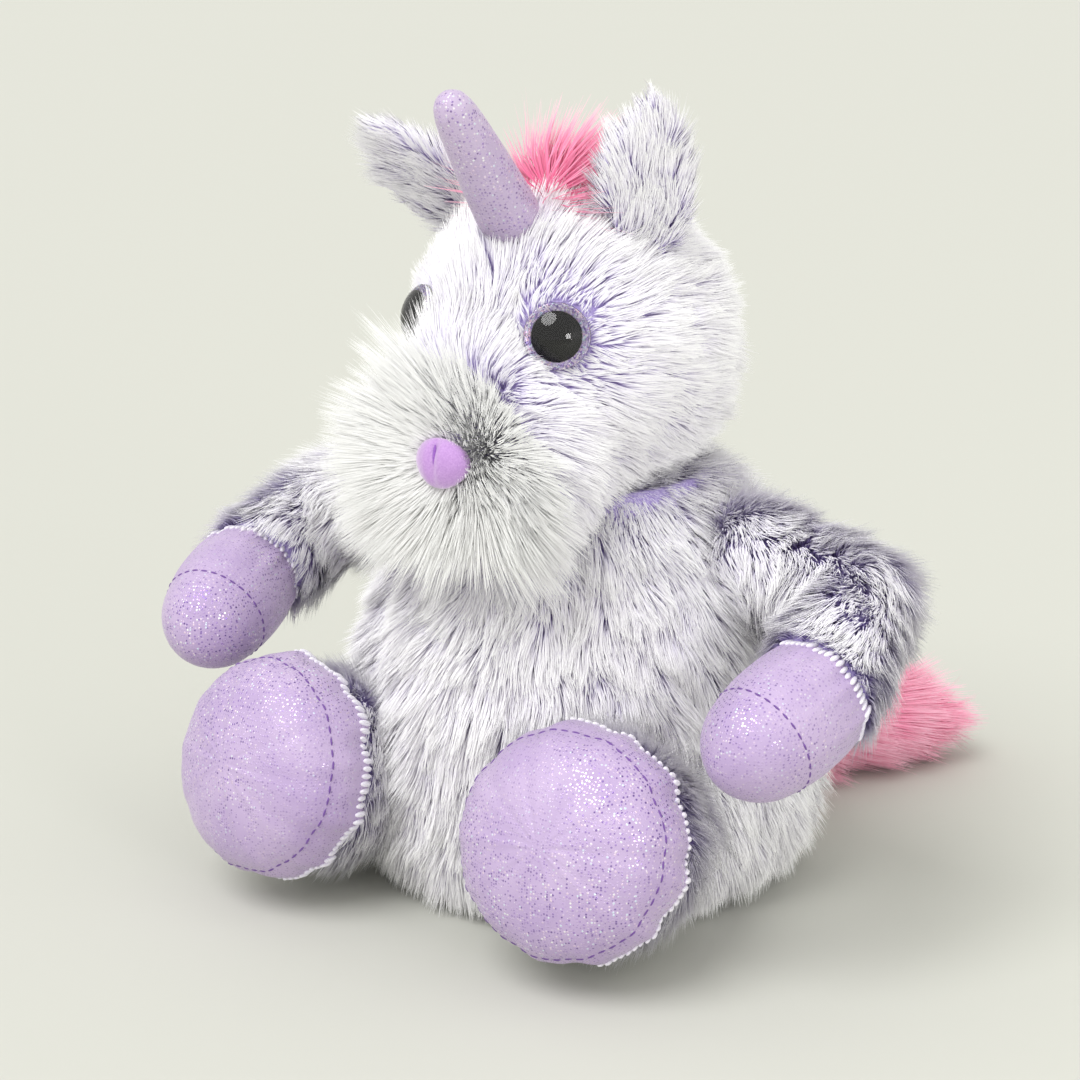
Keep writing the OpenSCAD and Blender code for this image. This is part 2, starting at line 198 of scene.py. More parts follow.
LILAC = [
    (0.0, "#A08AD2"), (0.15, "#BBAAE2"), (0.30, "#DAD0F2"), (0.48, "#EFEAFC"), (0.68, "#FBF9FF"),
    (1.0, "#FFFFFF"),
]
lilac_fur = faux_fur("frosted lilac faux fur", LILAC)
white_fur = faux_fur(
    "long white faux fur", [(0.0, "#F4F2FB"), (0.2, "#FCFBFF"), (0.4, "#FFFFFF"), (1.0, "#FFFFFF")]
)
pink_fur = faux_fur(
    "long pink faux fur", [(0.0, "#F25C94"), (0.35, "#FF86B0"), (0.75, "#FFA3C4"), (1.0, "#FFC6DA")]
)
lilac_backing = knit_backing("purple knit backing", "#A594D0", "#CBBFE8")
pink_backing = knit_backing("pink knit backing", "#D9487F", "#F071A0")
hoof_foil = dotted_foil("lilac foil-dot jersey", "#B19BC4", "#BDA9CC", "#6C4F98", 1.1, 0.25)
horn_foil = dotted_foil("pale foil-dot jersey", "#B8A4C6", "#C6B5D2", "#7E629F", 1.2, 0.16)
caught_pile = woven("white pile caught in the seam", "#E4DDF2", "#FFFFFF", 0.4, 0.7, 0.4)
velour = woven("lilac nose velour", "#B084C6", "#C298D4", 0.7, 0.8, 0.8)
# the darker velour is painted shade, laid down the nose crease
crease_shade_velour = woven("velour with painted crease shade", "#8A55B0", "#9C66C2", 0.7, 0.9, 0.4)
thread = woven("purple polyester thread", "#5E3A86", "#7B52A4", 0.35, 0.6, 0.3)
satin = woven("white woven satin", "#F0EFF2", "#FAFAFC", 0.25, 0.4, 0.1)
cotton = woven("undyed pouch cotton", "#E2D8C3", "#F0E8D8", 0.5)
grain = woven("dry grain", "#B8975A", "#E2C88E", 2.5, 0.7, 0.0)


def moulded(name, first, second, rough, scale, extra):
    """Moulded plastic: a smooth glossy skin with a very faint flow mottling."""
    m, t, shader = finish_material(name, {**extra})
    where = add(t, "ShaderNodeTexCoord")
    flow = add(t, "ShaderNodeTexNoise", {"Scale": scale, "Detail": 2.0}, {"Vector": where.outputs["Object"]})
    colour = add(t, "ShaderNodeValToRGB", {}, {0: flow.outputs["Fac"]})
    ramp(colour, [(0.3, first), (0.7, second)])
    gloss = add(
        t, "ShaderNodeMapRange", {1: 0.0, 2: 1.0, 3: rough * 0.8, 4: rough * 1.2}, {0: flow.outputs["Fac"]}
    )
    t.links.new(colour.outputs["Color"], shader.inputs["Base Color"])
    t.links.new(gloss.outputs[0], shader.inputs["Roughness"])
    return m


black_plastic = moulded(
    "black moulded pupil", "#030304", "#08070A", 0.3, 200.0, {"IOR": 1.5, "Specular IOR Level": 0.1}
)
white_plastic = moulded("white nylon washer", "#D9D9D9", "#E6E6E6", 0.5, 200.0, {"IOR": 1.53})
# Clear cast dome: only its highlights and a faint lilac tint are seen.
clear_dome = moulded(
    "clear acrylic dome", "#FBF8FF", "#FFFFFF", 0.02, 100.0, {"IOR": 1.49, "Transmission Weight": 1.0}
)


def glitter_ring():
    """Holographic glitter behind the dome: flakes near 0.75 mm, each with its own tint and gloss."""
    m, t, shader = finish_material("holographic glitter", {"Metallic": 0.6})
    where = add(t, "ShaderNodeTexCoord")
    flakes = add(t, "ShaderNodeTexVoronoi", {"Scale": 1 / (0.75 * MM)}, {"Vector": where.outputs["Object"]})
    per = add(t, "ShaderNodeSeparateColor", {}, {0: flakes.outputs["Color"]})
    hue = add(t, "ShaderNodeValToRGB", {}, {0: per.outputs["Green"]})
    ramp(
        hue,
        [
            (0.0, "#8A72B8"), (0.3, "#B9A6D8"), (0.5, "#DCD2EA"), (0.65, "#F6EFFA"), (0.8, "#C9E6F2"),
            (0.9, "#F4C9E2"), (1.0, "#FFFFFF"),
        ],
    )
    rough = add(t, "ShaderNodeMapRange", {1: 0.0, 2: 1.0, 3: 0.15, 4: 0.5}, {0: per.outputs["Blue"]})
    t.links.new(hue.outputs["Color"], shader.inputs["Base Color"])
    t.links.new(rough.outputs[0], shader.inputs["Roughness"])
    return m


eye_glitter = glitter_ring()


# ---------------------------------------------------------------- mesh helpers
def new_object(name, mesh):
    o = bpy.data.objects.new(name, mesh)
    scene.collection.objects.link(o)
    return o


def to_mesh(name, bm, material=None, smooth=True):
    me = bpy.data.meshes.new(name)
    bm.to_mesh(me)
    bm.free()
    me.polygons.foreach_set("use_smooth", [smooth] * len(me.polygons))
    o = new_object(name, me)
    if material:
        me.materials.append(material)
    return o


def point_to(direction, at):
    """A matrix that puts local Z along direction, at a place."""
    return Matrix.Translation(Vector(at)) @ Vector(direction).to_track_quat("Z", "Y").to_matrix().to_4x4()


def ball(bm, at, r, seg=40):
    bmesh.ops.create_uvsphere(
        bm, u_segments=seg, v_segments=seg // 2, radius=r, matrix=Matrix.Translation(Vector(at))
    )


def rod(bm, a, b, ra, rb):
    a, b = Vector(a), Vector(b)
    ball(bm, a, ra)
    ball(bm, b, rb)
    bmesh.ops.create_cone(
        bm,
        cap_ends=True,
        segments=40,
        radius1=ra,
        radius2=rb,
        depth=(b - a).length,
        matrix=point_to(b - a, (a + b) / 2),
    )


def turned(bm, profile, matrix, seg=64):
    """A shape turned about local Z from (radius, height) points."""
    rings = []
    for r, z in profile:
        if r < 1e-7:
            rings.append([bm.verts.new(matrix @ Vector((0, 0, z)))])
        else:
            rings.append(
                [
                    bm.verts.new(matrix @ Vector((r * math.cos(a), r * math.sin(a), z)))
                    for a in (2 * math.pi * i / seg for i in range(seg))
                ]
            )
    for low, high in zip(rings, rings[1:]):
        for i in range(seg):
            j = (i + 1) % seg
            corners = [low[i % len(low)], low[j % len(low)], high[j % len(high)], high[i % len(high)]]
            unique = []
            for c in corners:
                if c not in unique:
                    unique.append(c)
            if len(unique) > 2:
                bm.faces.new(unique)
    bmesh.ops.recalc_face_normals(bm, faces=bm.faces)


def baked(o):
    """The object's evaluated mesh as a plain one, with its modifiers removed."""
    deps = bpy.context.evaluated_depsgraph_get()
    me = bpy.data.meshes.new_from_object(o.evaluated_get(deps), preserve_all_data_layers=True, depsgraph=deps)
    o.modifiers.clear()
    o.data = me
    return o


def relax(o, times, factor=0.5):
    bm = bmesh.new()
    bm.from_mesh(o.data)
    for _ in range(times):
        bmesh.ops.smooth_vert(
            bm, verts=bm.verts, factor=factor, use_axis_x=True, use_axis_y=True, use_axis_z=True
        )
    bm.to_mesh(o.data)
    bm.free()


def finer(o):
    """Splits every face once, rounding between them."""
    m = o.modifiers.new("finer", "SUBSURF")
    m.levels = m.render_levels = 1
    baked(o)
    o.data.polygons.foreach_set("use_smooth", [True] * len(o.data.polygons))


def points(o):
    co = np.zeros(len(o.data.vertices) * 3)
    o.data.vertices.foreach_get("co", co)
    return co.reshape(-1, 3)


def normals(o):
    n = np.zeros(len(o.data.vertices) * 3)
    o.data.vertex_normals.foreach_get("vector", n)
    return n.reshape(-1, 3)


def stuffed(o, voxel, cap, pressure=4.0, frames=14):
    """Makes one skin from the joined shapes, then a short, light cloth fill from inside.
    The drawn shape gives the form: the fill moves most covers by less than a millimetre."""
    if voxel:
        o.modifiers.new("skin", "REMESH").voxel_size = voxel
        o.modifiers["skin"].mode = "VOXEL"
        baked(o)
        relax(o, 3)
    else:
        finer(o)
    rest = points(o)
    cloth = o.modifiers.new("fill", "CLOTH")
    cloth.settings.use_pressure = True
    cloth.settings.uniform_pressure_force = pressure
    cloth.settings.effector_weights.gravity = 0
    cloth.settings.quality = 5
    cloth.point_cache.frame_start, cloth.point_cache.frame_end = 1, frames
    for f in range(1, frames + 1):
        scene.frame_set(f)
    baked(o)
    scene.frame_set(1)
    move = points(o) - rest
    far = np.linalg.norm(move, axis=1, keepdims=True)
    co = rest + move * np.minimum(1, cap / np.maximum(far, 1e-9))
    o.data.vertices.foreach_set("co", co.ravel())
    o.data.polygons.foreach_set("use_smooth", [True] * len(o.data.polygons))
    o.data.update()
    return o


# ---------------------------------------------------------------- pile
def pile_tree():
    """Hairs on a skin: scattered roots, one flat tapering ribbon each, bent along the lay,
    drawn together in small and large locks, coloured by how far along the hair a point is."""
    t = bpy.data.node_groups.new("pile", "GeometryNodeTree")
    face = t.interface
    face.new_socket("Geometry", in_out="INPUT", socket_type="NodeSocketGeometry")
    for name, value in (
        ("Hairs per m2", 2e6), ("Length", 0.016), ("Width", 0.00060), ("Stand", 0.58), ("Lean", 0.72),
        ("Wander", 0.42), ("Small lock", 0.003), ("Large lock", 0.009), ("Small pull", 0.42),
        ("Large pull", 0.28),
    ):
        s = face.new_socket(name, in_out="INPUT", socket_type="NodeSocketFloat")
        s.default_value = value
    face.new_socket("Seed", in_out="INPUT", socket_type="NodeSocketInt")
    face.new_socket("Material", in_out="INPUT", socket_type="NodeSocketMaterial")
    face.new_socket("Geometry", in_out="OUTPUT", socket_type="NodeSocketGeometry")
    i = add(t, "NodeGroupInput").outputs

    # roots, with the skin's own way up stored on each
    cover = add(t, "GeometryNodeInputNamedAttribute", {"data_type": "FLOAT", "Name": "cover"})
    amount = add(
        t,
        "ShaderNodeMath",
        {"operation": "MULTIPLY"},
        {0: cover.outputs["Attribute"], 1: i["Hairs per m2"]},
    )
    roots = add(
        t,
        "GeometryNodeDistributePointsOnFaces",
        {},
        {"Mesh": i["Geometry"], "Density": amount.outputs[0], "Seed": i["Seed"]},
    )
    place = add(t, "GeometryNodeInputPosition")
    chance = add(t, "FunctionNodeRandomValue", {"data_type": "FLOAT"}, {"Seed": i["Seed"]})
    own = add(
        t,
        "GeometryNodeStoreNamedAttribute",
        {"data_type": "FLOAT", "domain": "POINT", "Name": "strand_key"},
        {"Geometry": roots.outputs["Points"], "Value": chance.outputs[1]},
    )
    root = add(
        t,
        "GeometryNodeStoreNamedAttribute",
        {"data_type": "FLOAT_VECTOR", "domain": "POINT", "Name": "root"},
        {"Geometry": own.outputs[0], "Value": place.outputs[0]},
    )
    up = add(
        t,
        "GeometryNodeStoreNamedAttribute",
        {"data_type": "FLOAT_VECTOR", "domain": "POINT", "Name": "up"},
        {"Geometry": root.outputs[0], "Value": roots.outputs["Normal"]},
    )

    # one ribbon: two points wide, three long
    ribbon = add(t, "GeometryNodeMeshGrid", {"Size X": 2.0, "Size Y": 1.0, "Vertices X": 2, "Vertices Y": 3})
    cell = add(t, "ShaderNodeSeparateXYZ", {}, {0: place.outputs[0]})
    along = add(t, "ShaderNodeMath", {"operation": "ADD", 1: 0.5}, {0: cell.outputs["Y"]})
    with_t = add(
        t,
        "GeometryNodeStoreNamedAttribute",
        {"data_type": "FLOAT", "domain": "POINT", "Name": "strand_t"},
        {"Geometry": ribbon.outputs["Mesh"], "Value": along.outputs[0]},
    )
    with_side = add(
        t,
        "GeometryNodeStoreNamedAttribute",
        {"data_type": "FLOAT", "domain": "POINT", "Name": "edge"},
        {"Geometry": with_t.outputs[0], "Value": cell.outputs["X"]},
    )
    hairs = add(
        t, "GeometryNodeInstanceOnPoints", {}, {"Points": up.outputs[0], "Instance": with_side.outputs[0]}
    )
    real = add(t, "GeometryNodeRealizeInstances", {}, {0: hairs.outputs[0]})

    # read back what each point knows
    at = {}
    for name, kind in (
        ("root", "FLOAT_VECTOR"), ("up", "FLOAT_VECTOR"), ("lay", "FLOAT_VECTOR"), ("strand_t", "FLOAT"),
        ("edge", "FLOAT"), ("strand_key", "FLOAT"), ("pile", "FLOAT"),
    ):
        at[name] = add(
            t, "GeometryNodeInputNamedAttribute", {"data_type": kind, "Name": name}
        ).outputs["Attribute"]
    uneven = add(t, "ShaderNodeMapRange", {3: 0.72, 4: 1.12}, {0: at["strand_key"]})
    cut = add(t, "ShaderNodeMath", {"operation": "MULTIPLY"}, {0: at["pile"], 1: i["Length"]})
    length = add(t, "ShaderNodeMath", {"operation": "MULTIPLY"}, {0: cut.outputs[0], 1: uneven.outputs[0]})
    bend = add(t, "ShaderNodeMath", {"operation": "POWER", 1: 1.7}, {0: at["strand_t"]})
    rise = add(t, "ShaderNodeMath", {"operation": "POWER", 1: 0.85}, {0: at["strand_t"]})
    out_by = add(t, "ShaderNodeMath", {"operation": "MULTIPLY"}, {0: rise.outputs[0], 1: i["Stand"]})
    on_by = add(t, "ShaderNodeMath", {"operation": "MULTIPLY"}, {0: bend.outputs[0], 1: i["Lean"]})
    out_part = add(
        t, "ShaderNodeVectorMath", {"operation": "SCALE"}, {0: at["up"], "Scale": out_by.outputs[0]}
    )
    on_part = add(
        t, "ShaderNodeVectorMath", {"operation": "SCALE"}, {0: at["lay"], "Scale": on_by.outputs[0]}
    )
    # the lay drifts over some 13 mm, and each hair differs a little
    drift = add(
        t,
        "ShaderNodeTexNoise",
        {"noise_dimensions": "3D", "Scale": 75.0, "Detail": 2.0},
        {"Vector": at["root"]},
    )
    centred = add(
        t,
        "ShaderNodeVectorMath",
        {"operation": "SUBTRACT", 1: (0.5, 0.5, 0.5)},
        {0: drift.outputs["Color"]},
    )
    own_way = add(t, "ShaderNodeTexWhiteNoise", {"noise_dimensions": "3D"}, {"Vector": at["root"]})
    own_centred = add(
        t,
        "ShaderNodeVectorMath",
        {"operation": "SUBTRACT", 1: (0.5, 0.5, 0.5)},
        {0: own_way.outputs["Color"]},
    )
    own_small = add(
        t, "ShaderNodeVectorMath", {"operation": "SCALE", "Scale": 0.42}, {0: own_centred.outputs[0]}
    )
    both = add(
        t,
        "ShaderNodeVectorMath",
        {"operation": "MULTIPLY_ADD", 1: (3.2, 3.2, 3.2)},
        {0: centred.outputs[0], 2: own_small.outputs[0]},
    )
    wander_by = add(t, "ShaderNodeMath", {"operation": "MULTIPLY"}, {0: bend.outputs[0], 1: i["Wander"]})
    wander = add(
        t,
        "ShaderNodeVectorMath",
        {"operation": "SCALE"},
        {0: both.outputs[0], "Scale": wander_by.outputs[0]},
    )
    sum1 = add(
        t, "ShaderNodeVectorMath", {"operation": "ADD"}, {0: out_part.outputs[0], 1: on_part.outputs[0]}
    )
    sum2 = add(t, "ShaderNodeVectorMath", {"operation": "ADD"}, {0: sum1.outputs[0], 1: wander.outputs[0]})
    shape = add(
        t, "ShaderNodeVectorMath", {"operation": "SCALE"}, {0: sum2.outputs[0], "Scale": length.outputs[0]}
    )

    # locks: tips drawn towards the middle of two sizes of cell, along the skin only
    pulled = shape.outputs[0]
    for size, strength, power in (("Large lock", "Large pull", 1.5), ("Small lock", "Small pull", 1.1)):
        per_metre = add(t, "ShaderNodeMath", {"operation": "DIVIDE", 0: 1.0}, {1: i[size]})
        cells = add(
            t,
            "ShaderNodeTexVoronoi",
            {"feature": "F1"},
            {"Vector": at["root"], "Scale": per_metre.outputs[0]},
        )
        to_middle = add(
            t,
            "ShaderNodeVectorMath",
            {"operation": "SUBTRACT"},
            {0: cells.outputs["Position"], 1: at["root"]},
        )
        lift = add(
            t, "ShaderNodeVectorMath", {"operation": "DOT_PRODUCT"}, {0: to_middle.outputs[0], 1: at["up"]}
        )
        lifted = add(
            t, "ShaderNodeVectorMath", {"operation": "SCALE"}, {0: at["up"], "Scale": lift.outputs["Value"]}
        )
        flat = add(
            t,
            "ShaderNodeVectorMath",
            {"operation": "SUBTRACT"},
            {0: to_middle.outputs[0], 1: lifted.outputs[0]},
        )
        by_t = add(t, "ShaderNodeMath", {"operation": "POWER", 1: power}, {0: at["strand_t"]})
        by = add(t, "ShaderNodeMath", {"operation": "MULTIPLY"}, {0: by_t.outputs[0], 1: i[strength]})
        pull = add(
            t, "ShaderNodeVectorMath", {"operation": "SCALE"}, {0: flat.outputs[0], "Scale": by.outputs[0]}
        )
        pulled = add(
            t, "ShaderNodeVectorMath", {"operation": "ADD"}, {0: pulled, 1: pull.outputs[0]}
        ).outputs[0]

    # ribbon width, tapering to the tip and turned a little from hair to hair
    across = add(t, "ShaderNodeVectorMath", {"operation": "CROSS_PRODUCT"}, {0: at["lay"], 1: at["up"]})
    turn = add(t, "ShaderNodeMapRange", {3: -0.9, 4: 0.9}, {0: own_way.outputs["Value"]})
    turned_by = add(
        t, "ShaderNodeVectorMath", {"operation": "SCALE"}, {0: at["lay"], "Scale": turn.outputs[0]}
    )
    side = add(
        t, "ShaderNodeVectorMath", {"operation": "ADD"}, {0: across.outputs[0], 1: turned_by.outputs[0]}
    )
    side_unit = add(t, "ShaderNodeVectorMath", {"operation": "NORMALIZE"}, {0: side.outputs[0]})
    taper = add(t, "ShaderNodeMapRange", {1: 0.25, 2: 1.0, 3: 0.5, 4: 0.04}, {0: at["strand_t"]})
    half = add(t, "ShaderNodeMath", {"operation": "MULTIPLY"}, {0: taper.outputs[0], 1: i["Width"]})
    signed = add(t, "ShaderNodeMath", {"operation": "MULTIPLY"}, {0: half.outputs[0], 1: at["edge"]})
    wide = add(
        t,
        "ShaderNodeVectorMath",
        {"operation": "SCALE"},
        {0: side_unit.outputs[0], "Scale": signed.outputs[0]},
    )
    from_root = add(t, "ShaderNodeVectorMath", {"operation": "ADD"}, {0: at["root"], 1: pulled})
    final = add(
        t, "ShaderNodeVectorMath", {"operation": "ADD"}, {0: from_root.outputs[0], 1: wide.outputs[0]}
    )
    # nothing goes under the floor
    parts = add(t, "ShaderNodeSeparateXYZ", {}, {0: final.outputs[0]})
    kept = add(t, "ShaderNodeMath", {"operation": "MAXIMUM", 1: FLOOR_GAP}, {0: parts.outputs["Z"]})
    placed = add(
        t, "ShaderNodeCombineXYZ", {}, {0: parts.outputs["X"], 1: parts.outputs["Y"], 2: kept.outputs[0]}
    )
    moved = add(
        t, "GeometryNodeSetPosition", {}, {"Geometry": real.outputs[0], "Position": placed.outputs[0]}
    )
    # the hair's own map: along the hair, and its number
    uv = add(t, "ShaderNodeCombineXYZ", {}, {0: at["strand_t"], 1: at["strand_key"]})
    mapped = add(
        t,
        "GeometryNodeStoreNamedAttribute",
        {"data_type": "FLOAT2", "domain": "CORNER", "Name": "OFBake"},
        {"Geometry": moved.outputs[0], "Value": uv.outputs[0]},
    )
    dressed = add(
        t, "GeometryNodeSetMaterial", {}, {"Geometry": mapped.outputs[0], "Material": i["Material"]}
    )
    end = add(t, "NodeGroupOutput")
    t.links.new(dressed.outputs[0], end.inputs[0])
    return t


PILE = pile_tree()
SHARE = 1.0


def furred(name, skin, body, nodes, material, seed, choose, comb, **sizes):
    """Grows pile on the chosen part of a skin. comb gives lay, pile length and cover at each point."""
    co, n = points(skin), normals(skin)
    lay, pile, cover = comb(co, n)
    lay = lay - n * np.sum(lay * n, axis=1, keepdims=True)
    lay = lay / np.maximum(np.linalg.norm(lay, axis=1, keepdims=True), 1e-6)
    bm = bmesh.new()
    bm.from_mesh(skin.data)
    bm.faces.ensure_lookup_table()
    mid = np.array([f.calc_center_median() for f in bm.faces])
    keep = choose(mid)
    me_all = skin.data.copy()
    for key, kind, data in (("lay", "FLOAT_VECTOR", lay), ("pile", "FLOAT", pile), ("cover", "FLOAT", cover)):
        a = me_all.attributes.new(key, kind, "POINT")
        a.data.foreach_set(
            "vector" if kind == "FLOAT_VECTOR" else "value",
            np.ascontiguousarray(data, dtype=np.float32).ravel(),
        )
    bm.free()
    bm = bmesh.new()
    bm.from_mesh(me_all)
    bm.faces.ensure_lookup_table()
    bmesh.ops.delete(bm, geom=[f for f, k in zip(bm.faces, keep) if not k], context="FACES")
    bm.to_mesh(me_all)
    bm.free()
    me_all.materials.clear()
    o = new_object(name, me_all)
    mod = o.modifiers.new("pile", "NODES")
    mod.node_group = PILE
    values = {"Hairs per m2": 2.15e6, "Seed": seed, "Material": material, **sizes}
    values["Hairs per m2"] *= SHARE
    for item in PILE.interface.items_tree:
        if item.in_out == "INPUT" and item.name in values:
            mod[item.identifier] = values[item.name]
    baked(o)
    me = o.data
    if not me.materials:
        me.materials.append(material)
    up = np.zeros(len(me.vertices) * 3, np.float32)
    me.attributes["up"].data.foreach_get("vector", up)
    me.polygons.foreach_set("use_smooth", [True] * len(me.polygons))
    own = normals(o)
    up = up.reshape(-1, 3) * 0.75 + own * 0.35
    up /= np.maximum(np.linalg.norm(up, axis=1, keepdims=True), 1e-6)
    me.normals_split_custom_set_from_vertices(up.tolist())
    for key in ("root", "up", "lay", "pile", "cover", "edge"):
        if key in me.attributes:
            me.attributes.remove(me.attributes[key])
    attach(o, body)
    if nodes:
        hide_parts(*nodes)
    print("pile", name, len(me.polygons))
    return o


# ---------------------------------------------------------------- torso
def unit(v):
    v = np.asarray(v, float)
    return v / np.maximum(np.linalg.norm(v, axis=-1, keepdims=True), 1e-9)


def mm(*v):
    return Vector(v) * MM


def near(co, at, r):
    """How far inside a ball each point is, in metres; negative outside."""
    return r - np.linalg.norm(co - np.array(at), axis=1)


def soft_step(x, low, high):
    t = np.clip((x - low) / (high - low), 0, 1)
    return t * t * (3 - 2 * t)


DOWN = np.array([0.0, 0.0, -1.0])
HEAD = np.array(mm(0, -12, 205))
NOSE = np.array(mm(0, -90, 177))
HIP = {1: np.array(mm(63, -67, 41)), -1: np.array(mm(-63, -67, 41))}
SHOULDER = {1: np.array(mm(70, 5, 128)), -1: np.array(mm(-70, 5, 128))}

bm = bmesh.new()
EGG = [
    (0, 2), (62, 2), (71, 4), (79, 12), (84, 26), (86, 46), (84, 72), (78, 98), (70, 119), (64, 134),
    (57, 148), (44, 158), (22, 162), (0, 163),
]
turned(bm, [(r * MM, z * MM) for r, z in EGG], Matrix.Identity(4))
torso = to_mesh("body_cover", bm, lilac_backing)
stuffed(torso, 0.005, 0.003, 3.0)
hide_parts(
    "body_front_left", "body_front_right", "body_back_left", "body_back_right", "body_base",
    "body_stuffing",
)
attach(torso, "torso")


def comb_torso(co, n):
    lay = np.tile(DOWN, (len(co), 1)) + 0.10 * np.sign(co[:, :1]) * [[1.0, 0, 0]]
    # no pile where the limbs and the head cover the body
    pile = np.full(len(co), 1.0)
    hidden = np.zeros(len(co))
    for s in (1, -1):
        hidden = np.maximum(hidden, near(co, HIP[s], 0.027) > 0)
        hidden = np.maximum(hidden, near(co, SHOULDER[s], 0.012) > 0)
    hidden = np.maximum(hidden, near(co, (HEAD + [0, 0, -0.004]), 0.034) > 0)
    cover = (1 - hidden) * (co[:, 2] > 0.003)
    return lay, pile, cover


for tag, sx, sy in (
    ("front_left", 1, -1),
    ("front_right", -1, -1),
    ("back_left", 1, 1),
    ("back_right", -1, 1),
):
    furred(
        f"body_fur_{tag}",
        torso,
        "torso",
        (),
        lilac_fur,
        11 + sx + 3 * sy,
        lambda c, sx=sx, sy=sy: (c[:, 0] * sx >= 0) & (c[:, 1] * sy >= 0),
        comb_torso,
        Length=0.0155,
    )

# ---------------------------------------------------------------- neck
bm = bmesh.new()
NECK_AT = mm(0, -8, 140)
turned(
    bm,
    [(49.5 * MM, 8 * MM), (53 * MM, 9 * MM), (51 * MM, 20 * MM), (46 * MM, 20 * MM), (49.5 * MM, 8 * MM)],
    Matrix.Translation(NECK_AT),
)
neck = to_mesh("neck_seam_band", bm, lilac_backing)
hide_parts("neck_seam")
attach(neck, "neck")

# ---------------------------------------------------------------- head
bm = bmesh.new()
ball(bm, mm(0, -17, 207), 55 * MM)
ball(bm, mm(0, -6, 207), 55 * MM)
turned(
    bm,
    [
        (0, -26 * MM), (20 * MM, -26 * MM), (36 * MM, -16 * MM), (42 * MM, 0), (41 * MM, 15 * MM),
        (34 * MM, 24 * MM), (18 * MM, 28 * MM), (0, 28 * MM),
    ],
    point_to((0, -1, 0), mm(0, -57, 178)),
)
head = to_mesh("head_cover", bm, lilac_backing)
stuffed(head, 0.0045, 0.0025, 3.0)
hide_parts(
    "head_side_left", "head_side_right", "forehead_gusset", "muzzle_upper", "muzzle_chin",
    "head_stuffing",
)
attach(head, "head")

EYE = {s: mm(s * 31.0, -63.6, 222.0) for s in (1, -1)}


def eye_axis(s):
    a = math.radians(32)
    e = math.radians(10)
    return Vector((s * math.sin(a) * math.cos(e), -math.cos(a) * math.cos(e), math.sin(e)))


def muzzle_share(co):
    """1 on the muzzle, 0 on the rest of the head."""
    d = np.linalg.norm((co - np.array(mm(0, -76, 172))) * [1.0, 0.8, 1.0], axis=1)
    return 1 - soft_step(d, 0.0350, 0.0370)


def comb_head(co, n):
    away = unit(co - NOSE)
    back = unit(co - np.array(mm(0, -60, 245)))
    lay = unit(away * 1.0 + 0.55 * DOWN * (1 - muzzle_share(co))[:, None] + 0.15 * np.array([0, 1.0, 0]))
    m = muzzle_share(co)
    wide = np.linalg.norm((co - NOSE)[:, [0, 2]], axis=1)
    pile = np.where(m > 0.5, 0.38 + 0.70 * soft_step(wide, 0.008, 0.036), 0.95)
    # the bridge between the eyes carries the fullest pile
    bridge = np.exp(
        -(((co[:, 0] + 0.008) / 0.010) ** 2) - ((co[:, 2] - 0.220) / 0.017) ** 2
    ) * (co[:, 1] < -0.04)
    cover = (co[:, 2] > 0.150).astype(float)
    for s in (1, -1):
        axis = np.array(eye_axis(s))
        rel = co - np.array(EYE[s])
        off = np.linalg.norm(rel - (rel @ axis)[:, None] * axis, axis=1)
        front = rel @ axis > -0.02
        cover *= 1 - front * (off < 0.0125)
        pile = pile * np.where(front, 0.34 + 0.66 * soft_step(off, 0.012, 0.030), 1)
        # the pile parts round the eye
        lay += 0.9 * (
            front * (1 - soft_step(off, 0.012, 0.024))
        )[:, None] * unit(rel - (rel @ axis)[:, None] * axis)
    pile = pile + 1.0 * bridge
    nose_off = np.linalg.norm((co - NOSE) * [1, 1, 1.0], axis=1)
    cover *= nose_off > 0.009
    horn = np.linalg.norm(co - np.array(mm(0, -49, 259)), axis=1)
    cover *= horn > 0.0105
    return lay, pile, cover


furred(
    "muzzle_fur",
    head,
    "head",
    (),
    white_fur,
    31,
    lambda c: muzzle_share(c) > 0.5,
    comb_head,
    Length=0.0245,
    Stand=0.92,
    Lean=0.50,
    Wander=0.18,
    **{
        "Hairs per m2": 4.0e6, "Large pull": 0.2, "Small pull": 0.35, "Large lock": 0.007,
        "Small lock": 0.0024, "Width": 0.0005,
    },
)
furred(
    "head_fur_left",
    head,
    "head",
    (),
    lilac_fur,
    32,
    lambda c: (muzzle_share(c) <= 0.5) & (c[:, 0] > 0.02),
    comb_head,
    Length=0.0150,
)
furred(
    "head_fur_right",
    head,
    "head",
    (),
    lilac_fur,
    33,
    lambda c: (muzzle_share(c) <= 0.5) & (c[:, 0] < -0.02),
    comb_head,
    Length=0.0150,
)
furred(
    "forehead_fur",
    head,
    "head",
    (),
    lilac_fur,
    34,
    lambda c: (muzzle_share(c) <= 0.5) & (abs(c[:, 0]) <= 0.02),
    comb_head,
    Length=0.0150,
)

# nose: a padded velour oval with a pinched upright crease
bm = bmesh.new()
bmesh.ops.create_uvsphere(bm, u_segments=48, v_segments=32, radius=1.0)
for v in bm.verts:
    x, y, z = v.co
    wide = 11.5 - 1.6 * max(0, -z)
    pinch = 3.2 * math.exp(-((x * wide / 1.7) ** 2)) * (0.6 + 0.4 * z) * max(0, -y)
    v.co = mm(x * wide, -91.5 + y * 6.0 + pinch + 0.018 * (x * wide) ** 2, 177 + z * 9.2)
nose = to_mesh("nose_pad", bm, velour)
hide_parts("nose")
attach(nose, "head")
# a thin darker velour sliver in the bottom of the crease: painted shade in the pinch
bm = bmesh.new()
bmesh.ops.create_uvsphere(bm, u_segments=16, v_segments=24, radius=1.0)
for v in bm.verts:
    x, y, z = v.co
    v.co = mm(x * 0.9, -94.3 + y * 0.8 - 0.5 * (1 - z * z), 178 + z * 6.5)
crease = to_mesh("nose_crease_shade", bm, crease_shade_velour)
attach(crease, "head")

